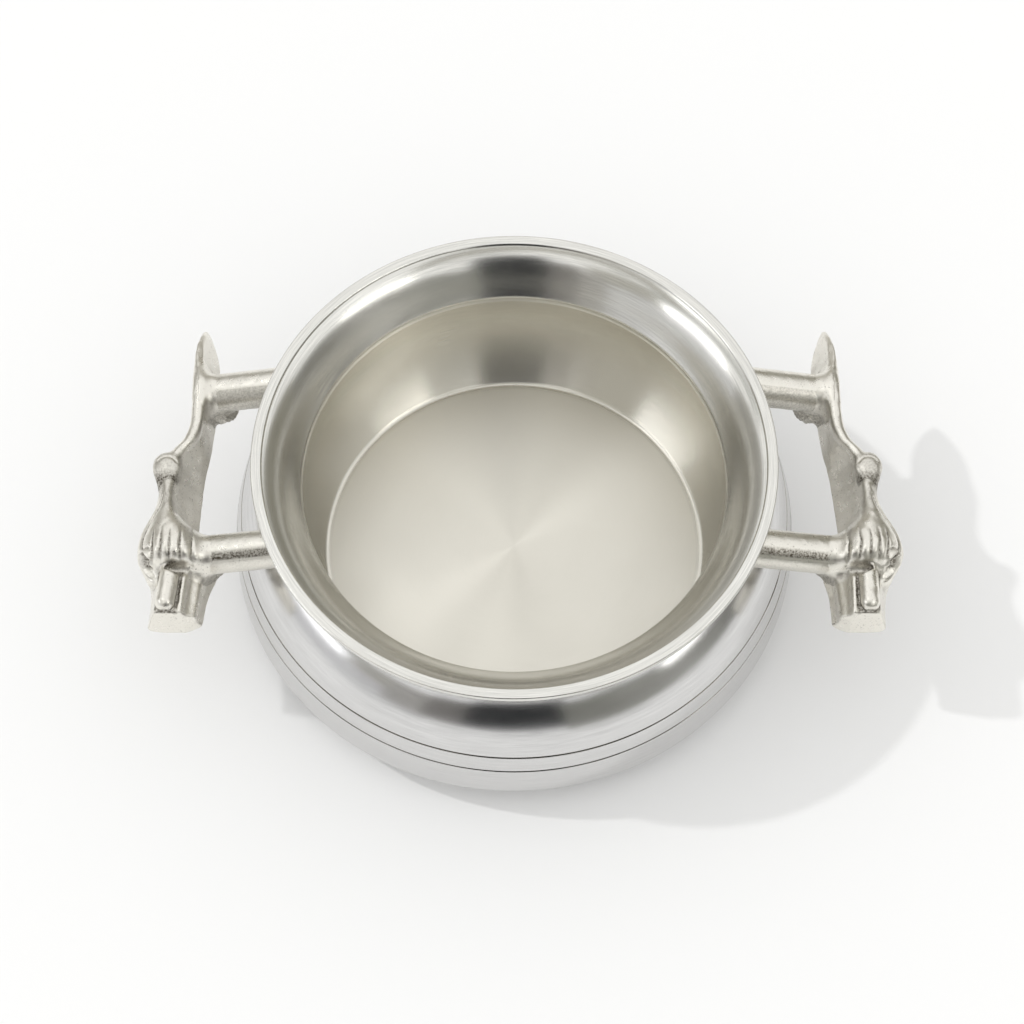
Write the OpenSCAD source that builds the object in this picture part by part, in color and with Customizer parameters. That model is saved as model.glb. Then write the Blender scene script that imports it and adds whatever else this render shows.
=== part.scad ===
// Open serving pot with two cast animal-head handles.
// Millimetres. The pot's axis is Z, the pot stands on z = 0 and the heads look along -Y.

/* [Pot] */
// Outside diameter of the lip
rim_d = 200; // [180:1:230]
// Inside diameter of the neck, where the flared collar is narrowest
neck_d = 163; // [140:1:170]
// Largest outside diameter of the belly
belly_d = 221; // [212:1:250]
// Diameter of the ring that the pot stands on
base_d = 150; // [110:1:165]
// Height from the table to the top of the lip
pot_h = 77; // [68:1:95]
// Height of the widest part of the belly
belly_h = 15; // [10:1:20]
// Depth of the collar, from the lip down to the neck
collar_drop = 16.7; // [12:0.1:20]
// Thickness of the bowl's floor and of its wall at the mouth
bowl_wall = 2.4; // [1.5:0.1:3]
// Thickness of the cast wall where the bowl is widest inside; below that it grows thicker
inside_wall = 3.9; // [2.5:0.1:5]
// Depth of that widest place below the lip
inside_drop = 31; // [28:0.5:34]
// Slope of the inner wall where it leaves the floor, in degrees
wall_rise = 43; // [30:1:60]
// Wall of the collar
collar_wall = 2; // [1.2:0.1:2.6]
// How far the funnel swells in front of a straight cone as it flares out to the lip
funnel_swell = 1.25; // [0:0.05:1.5]

/* [Lip and neck] */
// Width of the flat top of the lip, from its inner step to the edge
lip_w = 4; // [3:0.1:5]
// Thickness of the lip
lip_t = 2.4; // [1.6:0.1:3]
// Rounding of the lip's outer edges
lip_edge = 0.5; // [0.3:0.1:0.7]
// Depth of the step inside the lip
lip_step = 0.7; // [0.3:0.1:1.2]
// Length of the collar's skirt inside the bowl's mouth
skirt_h = 3; // [2:0.1:5]
// Gap that the braze fills between the skirt and the bowl's mouth
seam_gap = 0.1; // [0.05:0.01:0.2]

/* [Base] */
// Width of the ring that the pot stands on
foot_w = 7; // [4:0.5:12]
// Hollow of the underside inside that ring
base_hollow = 0.8; // [0.3:0.1:1]

/* [Grooves] */
// Height of the upper groove round the belly
groove_h = 37.4; // [33:0.1:42]
// Distance from the upper groove down to the lower one
groove_pitch = 7.8; // [5:0.1:10]
// Width of a groove
groove_w = 0.9; // [0.6:0.1:1.4]

/* [Posts] */
// Diameter of a post
post_d = 15; // [11:0.1:16]
// Distance between the axes of a handle's two posts
post_pitch = 70.7; // [62:0.1:80]
// How far the handles stand behind the middle of the pot
handle_shift = 3.5; // [0:0.1:6]
// Slope of a post down towards the plate, in degrees
post_slope = 12.5; // [4:0.5:15]
// Drop from the lip to the post's axis where it meets the plate
post_drop = 20; // [17:0.1:22]
// Leg of the braze fillet round the outer end of a post
braze_leg = 2.2; // [1:0.1:3]

/* [Grip plates] */
// Distance from the lip's edge out to the left plate, at its rear post
left_rear_gap = 21.4; // [18:0.1:32]
// Distance from the lip's edge out to the left plate, at its front post
left_front_gap = 21.6; // [18:0.1:32]
// Distance from the lip's edge out to the right plate, at its rear post
right_rear_gap = 22.9; // [18:0.1:32]
// Distance from the lip's edge out to the right plate, at its front post
right_front_gap = 25.1; // [18:0.1:32]
// Height of the plate
plate_h = 18; // [15:0.5:24]
// Thickness of the plate
plate_t = 4.6; // [3.5:0.1:6]
// Hollow of the plate's inner face
plate_dish = 0.8; // [0.2:0.1:1.2]
// Drop from the lip to the top edge of the plate
plate_drop = 13; // [10:0.5:15]
// How far the plate's top edge leans out past the knob
plate_lean = 12; // [7:0.5:14]
// Length of the tail leaf behind the rear post
tail_len = 30.8; // [20:0.1:36]
// Distance from the rear post's axis forward to the knob
knob_back = 36.3; // [32:0.1:40]
// Length of the bend in which the top edge swings out to the knob
bend_len = 10; // [7:0.5:12]
// Diameter of the scroll knob on the plate's top edge
knob_d = 10.5; // [8:0.5:12]

/* [Heads] */
// Length of the head in front of the front post
muzzle_len = 28.1; // [24:0.1:34]
// Length of the head behind the front post
head_back = 16; // [12:0.5:20]
// Width of the head across the temples
head_w = 27; // [24:0.5:30]
// Height of the head at the forehead
head_h = 28; // [24:0.5:32]
// Drop from the lip to the top of the forehead
head_drop = 4; // [2:0.5:8]
// How far the head stands outside the plate's middle line
head_out = 8.4; // [6:0.1:11]
// Width of the ridge along the nose
nose_w = 7.6; // [5:0.1:9]
// Number of flutes on the forehead
flutes = 6; // [4:1:7]
// Width of a flute
flute_w = 3.8; // [2.5:0.1:4.5]
// Diameter of an eye
eye_d = 4.6; // [3:0.1:6]

/* [Hidden] */

pot_color = "lightgray";
collar_color = "whitesmoke";
casting_color = "silver";
braze_color = "darkkhaki";

// Segments of a drawn quarter curve, of exact round solids, and of sculpted beads, balls and seats
arc_steps = 16;
round_fn = 96;
bead_fn = 10;
ball_fn = 18;
seat_fn = 40;

rim_r = rim_d / 2;
neck_r = neck_d / 2;
belly_r = belly_d / 2;
base_r = base_d / 2;
post_r = post_d / 2;
neck_h = pot_h - collar_drop;

// Bowl mouth round the collar's skirt
mouth_in_r = neck_r + collar_wall + seam_gap;
mouth_out_r = mouth_in_r + bowl_wall;
mouth_h = neck_h - collar_wall / 2;
shoulder_h = neck_h - skirt_h;

// Points of an ellipse's arc between two angles
function ellipse_arc(center, radii, from, to) =
    [for (i = [0 : arc_steps])
        let (a = from + (to - from) * i / arc_steps)
        [center[0] + radii[0] * cos(a), center[1] + radii[1] * sin(a)]];

function reversed(points) = [for (i = [len(points) - 1 : -1 : 0]) points[i]];

// Half profile of the bowl's outside, from the standing ring up to the mouth
bowl_outside = concat(
    ellipse_arc([base_r, belly_h], [belly_r - base_r, belly_h], -90, 0),
    ellipse_arc([mouth_out_r, belly_h], [belly_r - mouth_out_r, shoulder_h - belly_h], 0, 90),
    [[mouth_out_r, mouth_h]]);

// Radius of the bowl's outside at a height above its widest part
function shoulder_r(z) =
    mouth_out_r + (belly_r - mouth_out_r) * sqrt(1 - pow((z - belly_h) / (shoulder_h - belly_h), 2));

// Points of a curve that leaves its start along one pull and reaches its end against another
function pulled_curve(start, start_pull, end_pull, end) =
    [for (i = [0 : arc_steps])
        let (t = i / arc_steps, u = 1 - t)
        u*u*u * start + 3*u*u*t * (start + start_pull) + 3*u*t*t * (end - end_pull) + t*t*t * end];

// Half profile of the bowl's inside, from the creased edge of the floor up to the mouth
inside_h = pot_h - inside_drop;
inside_r = shoulder_r(inside_h) - inside_wall;
floor_pull = 0.6 * (inside_r - base_r);
wall_pull = 0.46 * (inside_h - bowl_wall);
bowl_inside = concat(
    pulled_curve([base_r, bowl_wall], floor_pull * [cos(wall_rise), sin(wall_rise)],
                 [0, wall_pull], [inside_r, inside_h]),
    ellipse_arc([mouth_in_r, inside_h],
                [inside_r - mouth_in_r, shoulder_h - bowl_wall - inside_h], 0, 90),
    [[mouth_in_r, mouth_h]]);

// Underside, hollowed inside the standing ring
foot_in_r = base_r - foot_w;
foot_bevel = 3;
underside = [[0, base_hollow], [foot_in_r - foot_bevel, base_hollow], [foot_in_r, 0]];

// Half profile of the collar: funnel, lip with rounded edges, funnel's outside, skirt
funnel_top = [rim_r - lip_w - lip_step / 2, pot_h - lip_step];
funnel_low = [neck_r, neck_h];
funnel_run = funnel_top - funnel_low;
funnel_side = [funnel_run[1], -funnel_run[0]] / norm(funnel_run);
// The swell is full at two thirds of the way up, where share^2 * (1 - share) has its peak
swell_peak = 4 / 27;
funnel_inside = [for (i = [0 : arc_steps])
    let (share = i / arc_steps)
    funnel_low + funnel_run * share
        - funnel_side * funnel_swell * share * share * (1 - share) / swell_peak];
skirt_r = neck_r + collar_wall;
collar_outside = concat(
    ellipse_arc([rim_r - lip_edge, pot_h - lip_edge], [lip_edge, lip_edge], 90, 0),
    ellipse_arc([rim_r - lip_edge, pot_h - lip_t + lip_edge], [lip_edge, lip_edge], 0, -90),
    [funnel_top + funnel_side * collar_wall, [skirt_r, mouth_h]]);

// Outline of the whole pot, filled to its axis and above its mouth, that the posts are coped to
pot_outline = concat(
    [[0, 0]],
    bowl_outside,
    reversed(collar_outside),
    [[rim_r - lip_w, pot_h], [rim_r - lip_w, pot_h + post_d], [0, pot_h + post_d]]);

module bowl_shell() {
    color(pot_color)
    difference() {
        rotate_extrude($fn = round_fn)
            polygon(concat(underside, bowl_outside, reversed(bowl_inside), [[0, bowl_wall]]));
        for (z = [groove_h, groove_h - groove_pitch])
            rotate_extrude($fn = round_fn)
                translate([shoulder_r(z), z])
                    circle(d = groove_w, $fn = round_fn);
    }
}

module neck_collar() {
    color(collar_color)
    rotate_extrude($fn = round_fn)
        polygon(concat(funnel_inside,
                       [[rim_r - lip_w, pot_h]],
                       collar_outside,
                       [[skirt_r, shoulder_h], [neck_r, shoulder_h]]));
}

// A side is [sign of X, gap at the rear post, gap at the front post]
left_side = [-1, left_rear_gap, left_front_gap];
right_side = [1, right_rear_gap, right_front_gap];

front_y = handle_shift - post_pitch / 2;
rear_y = handle_shift + post_pitch / 2;
tail_y = rear_y + tail_len;
knob_y = rear_y - knob_back;

// Distance of the plate's middle line from the pot's axis
function plate_x(side, y) =
    rim_r + side[1] + (side[2] - side[1]) * (rear_y - y) / post_pitch;

// Outer end of a post, on the flat seat in the plate at the rear or in the head's flank at the front
seat_r = post_r + braze_leg;
seat_z = pot_h - post_drop;
function seat_x(side, y) =
    plate_x(side, y) + (y == rear_y ? -plate_t / 2 : head_out - head_w * 0.46);

// Mirrors a right-hand shape for the left side of the pot
module on_side(side) {
    if (side[0] < 0)
        mirror([1, 0, 0]) children();
    else
        children();
}

// Place at the outer end of a post, with Z along the post towards the pot
module at_seat(side, y) {
    translate([seat_x(side, y), y, seat_z])
        rotate([0, post_slope - 90, 0])
            children();
}

// Round bar, coped to the outside of the pot
module post(side, y) {
    reach = seat_x(side, y) - neck_r + post_d;
    color(casting_color)
    on_side(side)
        difference() {
            at_seat(side, y) cylinder(r = post_r, h = reach, $fn = round_fn);
            rotate_extrude($fn = round_fn) polygon(pot_outline);
        }
}

// Concave fillet of braze metal round the post's outer end
module braze(side, y) {
    color(braze_color)
    on_side(side)
        at_seat(side, y)
            rotate_extrude($fn = round_fn)
                polygon(concat([[post_r, 0]],
                               ellipse_arc([seat_r, braze_leg], [braze_leg, braze_leg], -90, -180)));
}

// Smooth curve through a list of stations
function blend(a, b, c, d, t) =
    b + (c - a) * t / 2
      + (2 * a - 5 * b + 4 * c - d) * t * t / 2
      + (3 * b - a - 3 * c + d) * t * t * t / 2;

function smooth(stations, steps) =
    let (last = len(stations) - 1)
    [for (i = [0 : last - 1])
        for (k = [0 : (i == last - 1 ? steps : steps - 1)])
            let (before = stations[max(i - 1, 0)], after = stations[min(i + 2, last)])
                blend(before, stations[i], stations[i + 1], after, k / steps)];

// Solid through closed rings of equal length
module skin(rings) {
    count = len(rings[0]);
    last = len(rings) - 1;
    polyhedron(
        points = [for (ring = rings) for (p = ring) p],
        faces = concat(
            [[for (i = [0 : count - 1]) i]],
            [for (r = [0 : last - 1])
                for (i = [0 : count - 1])
                    let (j = (i + 1) % count, a = r * count, b = a + count)
                        each [[a + i, b + i, b + j], [a + i, b + j, a + j]]],
            [[for (i = [count - 1 : -1 : 0]) last * count + i]]));
}

// Signed power, for rounded-square rings
function bent(v, power) = sign(v) * pow(abs(v), power);

// Station of the plate, as shares of its own sizes:
// [y, lean of top edge, drop of top edge, lean of lower edge, height, thickness]
function plate_station(y, top, drop, low, tall, thick) =
    [y, plate_lean * top, plate_drop + plate_h * drop, plate_lean * low, plate_h * tall, plate_t * thick];

// From the tail's tip to the back of the head
plate_stations = [
    plate_station(tail_y, 0.12, 0.56, 0.08, 0.07, 0.35),
    plate_station(tail_y - tail_len * 0.13, 0.15, 0.33, -0.08, 0.45, 0.55),
    plate_station(tail_y - tail_len * 0.4, 0.22, 0.09, -0.29, 0.83, 0.7),
    plate_station(tail_y - tail_len * 0.72, 0.19, 0, -0.32, 0.98, 0.88),
    plate_station(rear_y, 0.15, -0.11, -0.29, 1.1, 1),
    plate_station(knob_y + bend_len * 2.2, 0.15, 0, -0.21, 1, 0.95),
    plate_station(knob_y + bend_len * 1.35, 0.33, 0, -0.15, 1, 0.95),
    plate_station(knob_y + bend_len * 0.75, 0.72, 0, -0.08, 1, 1),
    plate_station(knob_y, 0.94, 0, -0.02, 1, 1),
    plate_station(knob_y - bend_len * 1.25, 0.97, 0, 0.04, 1, 1.05),
    plate_station(front_y + head_back * 0.75, 0.97, 0, 0.08, 1, 1.15),
    plate_station(front_y, 0.85, 0.05, 0.1, 0.95, 1.3)];

// Points of a plate section, and how square its edges are
plate_sides = 22;
edge_power = 0.55;

function plate_ring(side, s) =
    let (top = [plate_x(side, s[0]) + s[1], pot_h - s[2]],
         low = [plate_x(side, s[0]) + s[3], pot_h - s[2] - s[4]],
         middle = (top + low) / 2,
         half = (top - low) / 2,
         out = [half[1], -half[0]] / norm(half))
    [for (i = [0 : plate_sides - 1])
        let (a = 360 * i / plate_sides,
             dish = cos(a) < 0 ? plate_dish * cos(a) * cos(a) * s[4] / plate_h : 0,
             across = bent(cos(a), edge_power) * s[5] / 2 + dish,
             p = middle + half * bent(sin(a), edge_power) + out * across)
        [p[0], s[0], p[1]]];

// Station of the head, as shares of its own sizes:
// [y, place outside the plate, drop of the top, height, width, share of the width left at the top]
function head_station(y, out, drop, tall, wide, top) =
    [y, head_out * out, head_drop + head_h * drop, head_h * tall, head_w * wide, top];

// From the neck to the end of the muzzle
head_stations = [
    head_station(front_y + head_back, 1.3, 0.27, 0.3, 0.16, 0.8),
    head_station(front_y + head_back * 0.7, 1.15, 0.12, 0.72, 0.56, 0.85),
    head_station(front_y + head_back * 0.3, 1.05, 0.03, 0.93, 0.87, 0.9),
    head_station(front_y, 1, 0, 1, 1, 0.9),
    head_station(front_y - muzzle_len * 0.18, 0.96, 0.03, 0.99, 1, 0.82),
    head_station(front_y - muzzle_len * 0.34, 0.88, 0.24, 0.76, 0.96, 0.62),
    head_station(front_y - muzzle_len * 0.5, 0.72, 0.27, 0.71, 0.88, 0.55),
    head_station(front_y - muzzle_len * 0.8, 0.66, 0.29, 0.66, 0.9, 0.5),
    head_station(front_y - muzzle_len * 0.96, 0.64, 0.31, 0.62, 0.88, 0.5),
    head_station(front_y - muzzle_len, 0.64, 0.36, 0.53, 0.8, 0.5)];

// Stations that carved details refer to
hairline = head_stations[2];
forehead = head_stations[3];
brow = head_stations[4];
nose_root = head_stations[5];
nose_tip = head_stations[8];

// Points of a head section, and how square its corners are
head_sides = 26;
corner_power = 0.75;

// Point of a head section, at an angle round it
function head_point(side, s, a) =
    let (up = bent(sin(a), corner_power),
         width = s[4] / 2 * (1 + (s[5] - 1) * (1 + up) / 2))
    [plate_x(side, s[0]) + s[1] + width * bent(cos(a), corner_power),
     s[0],
     pot_h - s[2] - s[3] / 2 + up * s[3] / 2];

module plate(side) {
    skin([for (s = smooth(plate_stations, 3)) plate_ring(side, s)]);
}

module head(side) {
    skin([for (s = smooth(head_stations, 3))
        [for (i = [0 : head_sides - 1]) head_point(side, s, 360 * i / head_sides)]]);
}

// A head section drawn in by a depth, where carved details are rooted
function sunk(s, depth) = [s[0], s[1], s[2] + depth, s[3] - 2 * depth, s[4] - 2 * depth, s[5]];

// One flute of the forelock, over the forehead down to the brow, at an angle round the head
module flute(side, a) {
    root = flute_w * 0.2;
    points = [for (s = [hairline, forehead, brow]) head_point(side, sunk(s, root), a)];
    widths = [flute_w * 0.5, flute_w, flute_w * 1.1];
    for (k = [0, 1])
        hull() {
            translate(points[k]) sphere(d = widths[k], $fn = bead_fn);
            translate(points[k + 1]) sphere(d = widths[k + 1], $fn = bead_fn);
        }
}

// Flutes at even steps across the head, from the outer temple to the inner one
forelock_out = 0.8;
forelock_in = -0.5;

module forelock(side) {
    for (i = [0 : flutes - 1])
        let (across = forelock_out + (forelock_in - forelock_out) * i / (flutes - 1))
            flute(side, acos(bent(across, 1 / corner_power)));
}

// Raised ridge along the nose
module nose(side) {
    sink = nose_w * 0.3;
    hull()
        for (s = [nose_root, nose_tip])
            translate(head_point(side, s, 90) - [0, 0, sink])
                sphere(d = nose_w, $fn = ball_fn);
}

// Eye at the outer temple, under the brow
module eye(side) {
    temple = 14;
    translate(head_point(side, sunk(brow, eye_d * 0.2), temple))
        sphere(d = eye_d, $fn = ball_fn);
}

// Scroll knob that swells out of the top edge, flat on top and hollow towards the head
module knob(side) {
    middle = [plate_x(side, knob_y) + plate_lean * 1.02, knob_y, pot_h - plate_drop - knob_d * 0.15];
    ridge_x = plate_lean * 0.93;
    ridge_z = pot_h - plate_drop - plate_t / 2;
    difference() {
        union()
            for (reach = [bend_len * 0.8, -bend_len])
                hull() {
                    translate(middle) sphere(d = knob_d, $fn = ball_fn);
                    translate([plate_x(side, knob_y) + ridge_x, knob_y + reach, ridge_z])
                        sphere(d = plate_t * 0.8, $fn = bead_fn);
                }
        translate(middle + [0, 0, knob_d * 0.9]) cube(knob_d, center = true);
        translate(middle + [knob_d * 0.3, -knob_d * 0.55, -knob_d * 0.05])
            sphere(d = knob_d * 0.55, $fn = ball_fn);
    }
}

// Web under a post, from its underside out to the plate or along the head's flank
module web(side, y, run) {
    foot_d = post_d * 0.55;
    toe_d = post_d * 0.33;
    hull() {
        at_seat(side, y)
            translate([-post_r * 0.95, -post_r * 0.3, post_d * 0.45])
                sphere(d = toe_d, $fn = bead_fn);
        at_seat(side, y)
            translate([-post_r * 1.15, post_r * 0.3, -foot_d * 0.2])
                sphere(d = foot_d, $fn = bead_fn);
        at_seat(side, y)
            translate([-post_r * 0.8, -run, -foot_d * 0.3])
                sphere(d = foot_d, $fn = bead_fn);
    }
}

// Grip plate, tail leaf, scroll knob and animal head, cast in one piece, with a flat seat for each post
module handle_casting(side) {
    seat_clear = 0.1;
    seat_depth = plate_t + head_w / 2;
    color(casting_color)
    on_side(side)
        difference() {
            union() {
                plate(side);
                head(side);
                forelock(side);
                nose(side);
                eye(side);
                knob(side);
                web(side, rear_y, post_r);
                web(side, front_y, muzzle_len * 0.55);
                for (y = [rear_y, front_y])
                    at_seat(side, y)
                        mirror([0, 0, 1])
                            cylinder(r = seat_r, h = plate_t * 0.7, $fn = seat_fn);
            }
            for (y = [rear_y, front_y])
                at_seat(side, y) {
                    cylinder(r = seat_r, h = braze_leg, $fn = seat_fn);
                    cylinder(r = post_r + seat_clear, h = seat_depth, $fn = seat_fn);
                }
        }
}

bowl_shell();
neck_collar();
handle_casting(left_side);  // left_handle_casting
handle_casting(right_side);  // right_handle_casting
post(left_side, front_y);  // left_front_post
post(left_side, rear_y);  // left_rear_post
post(right_side, front_y);  // right_front_post
post(right_side, rear_y);  // right_rear_post
braze(left_side, front_y);  // left_front_braze
braze(left_side, rear_y);  // left_rear_braze
braze(right_side, front_y);  // right_front_braze
braze(right_side, rear_y);  // right_rear_braze
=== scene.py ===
import math

import bpy
import numpy as np
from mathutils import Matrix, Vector


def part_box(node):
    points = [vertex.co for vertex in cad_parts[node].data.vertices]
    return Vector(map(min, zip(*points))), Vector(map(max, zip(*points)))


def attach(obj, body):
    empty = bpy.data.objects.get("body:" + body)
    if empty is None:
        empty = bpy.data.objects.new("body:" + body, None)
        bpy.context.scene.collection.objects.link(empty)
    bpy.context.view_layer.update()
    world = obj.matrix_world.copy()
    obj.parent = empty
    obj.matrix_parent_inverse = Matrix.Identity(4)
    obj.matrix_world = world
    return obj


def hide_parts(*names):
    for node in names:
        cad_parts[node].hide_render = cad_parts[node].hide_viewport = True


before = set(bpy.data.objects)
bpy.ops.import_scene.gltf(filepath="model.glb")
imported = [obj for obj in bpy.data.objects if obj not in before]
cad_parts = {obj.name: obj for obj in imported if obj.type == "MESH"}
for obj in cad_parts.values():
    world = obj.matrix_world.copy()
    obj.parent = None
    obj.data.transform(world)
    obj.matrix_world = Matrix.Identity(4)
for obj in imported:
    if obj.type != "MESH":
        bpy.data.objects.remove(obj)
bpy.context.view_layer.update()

# Dresses the open serving pot: turned bowl and collar, cast animal-head handles, posts and braze.
# Shapes are drawn in millimetres and scaled to metres as their meshes are made.
MM = 0.001

# Sizes taken from the frame
collar_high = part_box("neck_collar")[1]
bowl_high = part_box("bowl_shell")[1]
rim_r = collar_high.x / MM
pot_h = collar_high.z / MM
belly_r = bowl_high.x / MM

# Sizes of the pot
neck_r = 81.5
base_r = 75.0
belly_h = 15.0
collar_drop = 16.7
collar_wall = 2.0
bowl_wall = 2.4
lip_w = 4.0
lip_t = 2.4
lip_edge = 0.5
lip_step = 0.7
skirt_h = 3.0
groove_h = 37.4
groove_pitch = 7.8
groove_w = 0.9
foot_w = 7.0
base_hollow = 0.8
inside_wall = 3.9
inside_drop = 31.0
wall_rise = 43.0
mouth_gap = 0.1

neck_h = pot_h - collar_drop
skirt_r = neck_r + collar_wall
mouth_in_r = skirt_r + mouth_gap
mouth_out_r = mouth_in_r + bowl_wall
mouth_h = neck_h - collar_wall / 2
shoulder_h = neck_h - skirt_h
GROOVES = (groove_h - groove_pitch, groove_h)

# Sizes of the handles
post_r = 7.5
post_pitch = 70.7
handle_shift = 3.5
post_slope = math.radians(12.5)
post_drop = 20.0
plate_h = 18.0
plate_t = 4.6
plate_drop = 13.0
plate_lean = 12.0
tail_len = 30.8
knob_back = 36.3
bend_len = 10.0
knob_d = 10.5
muzzle_len = 28.1
head_out = 8.4
head_w = 27.0

front_y = handle_shift - post_pitch / 2
rear_y = handle_shift + post_pitch / 2
tail_y = rear_y + tail_len
knob_y = rear_y - knob_back
snout_y = front_y - muzzle_len

# Inner edge of the head outside the plate, and the direction of a right-hand post towards the pot
head_in = head_out - head_w * 0.46
POST_RUN = (-math.cos(post_slope), 0, math.sin(post_slope))

# Grid steps of the sculpted pieces, and how far a piece sinks into its neighbours
casting_step = 0.36
bar_step = 0.45
fillet_step = 0.42
overlap = 0.5

# A side is its sign along X, the gap from the lip's edge to its plate at the rear and front posts,
# and how far its head stands outside that line at the front post and at the snout
SIDES = {"left": (-1, 21.4, 21.6, 0.0, 0.0), "right": (1, 22.9, 25.1, 1.2, -2.4)}


def arc(center, radii, start, end, steps=24):
    """Points of an ellipse's arc between two angles in degrees."""
    angles = np.radians(np.linspace(start, end, steps + 1))
    return [(center[0] + radii[0] * math.cos(a), center[1] + radii[1] * math.sin(a)) for a in angles]


def mesh_object(name, vertices, faces, material):
    """A mesh object with one material, drawn in metres."""
    mesh = bpy.data.meshes.new(name)
    mesh.from_pydata(vertices, [], faces)
    mesh.validate()
    mesh.materials.append(material)
    piece = bpy.data.objects.new(name, mesh)
    bpy.context.scene.collection.objects.link(piece)
    return piece


def new_object(name, vertices, faces, material):
    """A mesh object of the part, drawn in millimetres and riding on the part's only body."""
    piece = mesh_object(name, [tuple(v) for v in np.asarray(vertices) * MM], faces, material)
    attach(piece, "root")
    return piece


def set_recess(piece, recess):
    """Stores how dark each point of a piece is painted, for its material: grime and painted shade."""
    layer = piece.data.attributes.new("recess", "FLOAT", "POINT")
    layer.data.foreach_set("value", recess.astype(np.float32))


def lathe(name, profile, material, second=None, second_from=0, sharp=30, turns=288):
    """Closed solid of revolution of a half profile, with a second material from one of its points on."""
    vertices = []
    rings = []
    for radius, height in profile:
        if radius < 1e-6:
            rings.append([len(vertices)] * turns)
            vertices.append((0, 0, height))
            continue
        rings.append(list(range(len(vertices), len(vertices) + turns)))
        for k in range(turns):
            angle = 2 * math.pi * k / turns
            vertices.append((radius * math.cos(angle), radius * math.sin(angle), height))
    faces = []
    materials = []
    for i, (low, high) in enumerate(zip(rings, rings[1:] + rings[:1])):
        for k in range(turns):
            j = (k + 1) % turns
            corners = list(dict.fromkeys([low[k], low[j], high[j], high[k]]))
            if len(corners) > 2:
                faces.append(corners)
                materials.append(int(second is not None and i >= second_from))
    piece = new_object(name, vertices, faces, material)
    if second is not None:
        piece.data.materials.append(second)
        piece.data.polygons.foreach_set("material_index", materials)
    piece.data.shade_smooth()
    piece.data.set_sharp_from_angle(angle=math.radians(sharp))
    return piece


def shoulder_r(z):
    """Radius of the bowl's outside at a height above its widest part."""
    share = (z - belly_h) / (shoulder_h - belly_h)
    return mouth_out_r + (belly_r - mouth_out_r) * math.sqrt(max(0.0, 1 - share * share))


def bowl_outside():
    """Half profile of the bowl's outside, with its two grooves, from the standing ring to the mouth."""
    points = arc((base_r, belly_h), (belly_r - base_r, belly_h), -90, 0, 28)
    upper = arc((mouth_out_r, belly_h), (belly_r - mouth_out_r, shoulder_h - belly_h), 0, 90, 64)
    groove_at = list(GROOVES)
    half = groove_w / 2
    for radius, z in upper:
        while groove_at and z > groove_at[0] - half:
            middle = groove_at.pop(0)
            for step in np.linspace(-1, 1, 9):
                height = middle + half * step
                depth = half * math.sqrt(1 - step * step)
                points.append((shoulder_r(height) - depth, height))
        if all(abs(z - groove) > half for groove in GROOVES):
            points.append((radius, z))
    return points + [(mouth_out_r, mouth_h)]


def bowl_inside():
    """Half profile of the bowl's inside from the mouth to the floor's middle, with a small floor fillet."""
    fillet_w = 0.8
    fillet_h = 0.3
    top_pull = 0.46
    low_pull = 0.6
    wall_h = pot_h - inside_drop
    wall_r = shoulder_r(wall_h) - inside_wall
    rise = math.radians(wall_rise)
    upper = arc((mouth_in_r, wall_h), (wall_r - mouth_in_r, shoulder_h - bowl_wall - wall_h), 90, 0, 32)
    floor_edge = np.array((base_r + fillet_w, bowl_wall + fillet_h))
    reach = low_pull * (wall_r - base_r)
    pull = floor_edge + reach * np.array((math.cos(rise), math.sin(rise)))
    wall_top = np.array((wall_r, wall_h))
    wall_low = wall_top - (0, top_pull * (wall_h - bowl_wall))
    lower = []
    for t in np.linspace(0, 1, 40)[1:]:
        u = 1 - t
        point = u ** 3 * wall_top + 3 * u * u * t * wall_low + 3 * u * t * t * pull + t ** 3 * floor_edge
        lower.append(tuple(point))
    floor = [
        (base_r + fillet_w * 0.4, bowl_wall + fillet_h * 0.4),
        (base_r - fillet_w * 0.3, bowl_wall + fillet_h * 0.08),
        (base_r - fillet_w, bowl_wall),
        (base_r * 0.5, bowl_wall),
        (0, bowl_wall)]
    return [(mouth_in_r, mouth_h)] + upper + lower + floor


def underside():
    """Half profile of the underside, hollowed inside the standing ring."""
    bevel = 3.0
    inner = base_r - foot_w
    return [(0, base_hollow), (inner - bevel, base_hollow), (inner, 0)]


def collar_profile():
    """Half profile of the collar: flared funnel, stepped flat lip with a rounded edge, outside, skirt."""
    top = np.array((rim_r - lip_w - lip_step / 2, pot_h - lip_step))
    low = np.array((neck_r, neck_h))
    run = top - low
    side = np.array((-run[1], run[0])) / np.linalg.norm(run)
    flare = 1.25
    edge = 0.35
    funnel = []
    for share in np.linspace(0.03, 0.99, 40):
        # The cubic reaches 4 / 27 two thirds of the way up
        swell = flare * 27 / 4 * share ** 2 * (1 - share)
        funnel.append(tuple(low + run * share + side * swell))
    lip = [(rim_r - lip_w, pot_h - edge * 0.4), (rim_r - lip_w + edge * 0.5, pot_h)]
    lip += arc((rim_r - lip_edge, pot_h - lip_edge), (lip_edge, lip_edge), 90, 0, 8)
    lip += arc((rim_r - lip_edge, pot_h - lip_t + lip_edge), (lip_edge, lip_edge), 0, -90, 8)
    outside = [tuple(top - side * collar_wall), (skirt_r, mouth_h), (skirt_r, shoulder_h)]
    skirt = [(neck_r + edge, shoulder_h), (neck_r, shoulder_h + edge), (neck_r, neck_h - edge)]
    return skirt + funnel + [tuple(top)] + lip + outside


# Fields of signed distance, in millimetres, on the right-hand side of the pot

def smooth_min(a, b, blend):
    """Union of two fields, rounded where they meet."""
    share = np.clip(0.5 + 0.5 * (b - a) / blend, 0, 1)
    return b + (a - b) * share - blend * share * (1 - share)


def smooth_max(a, b, blend):
    """What two fields share, rounded where they meet."""
    return -smooth_min(-a, -b, blend)


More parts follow.
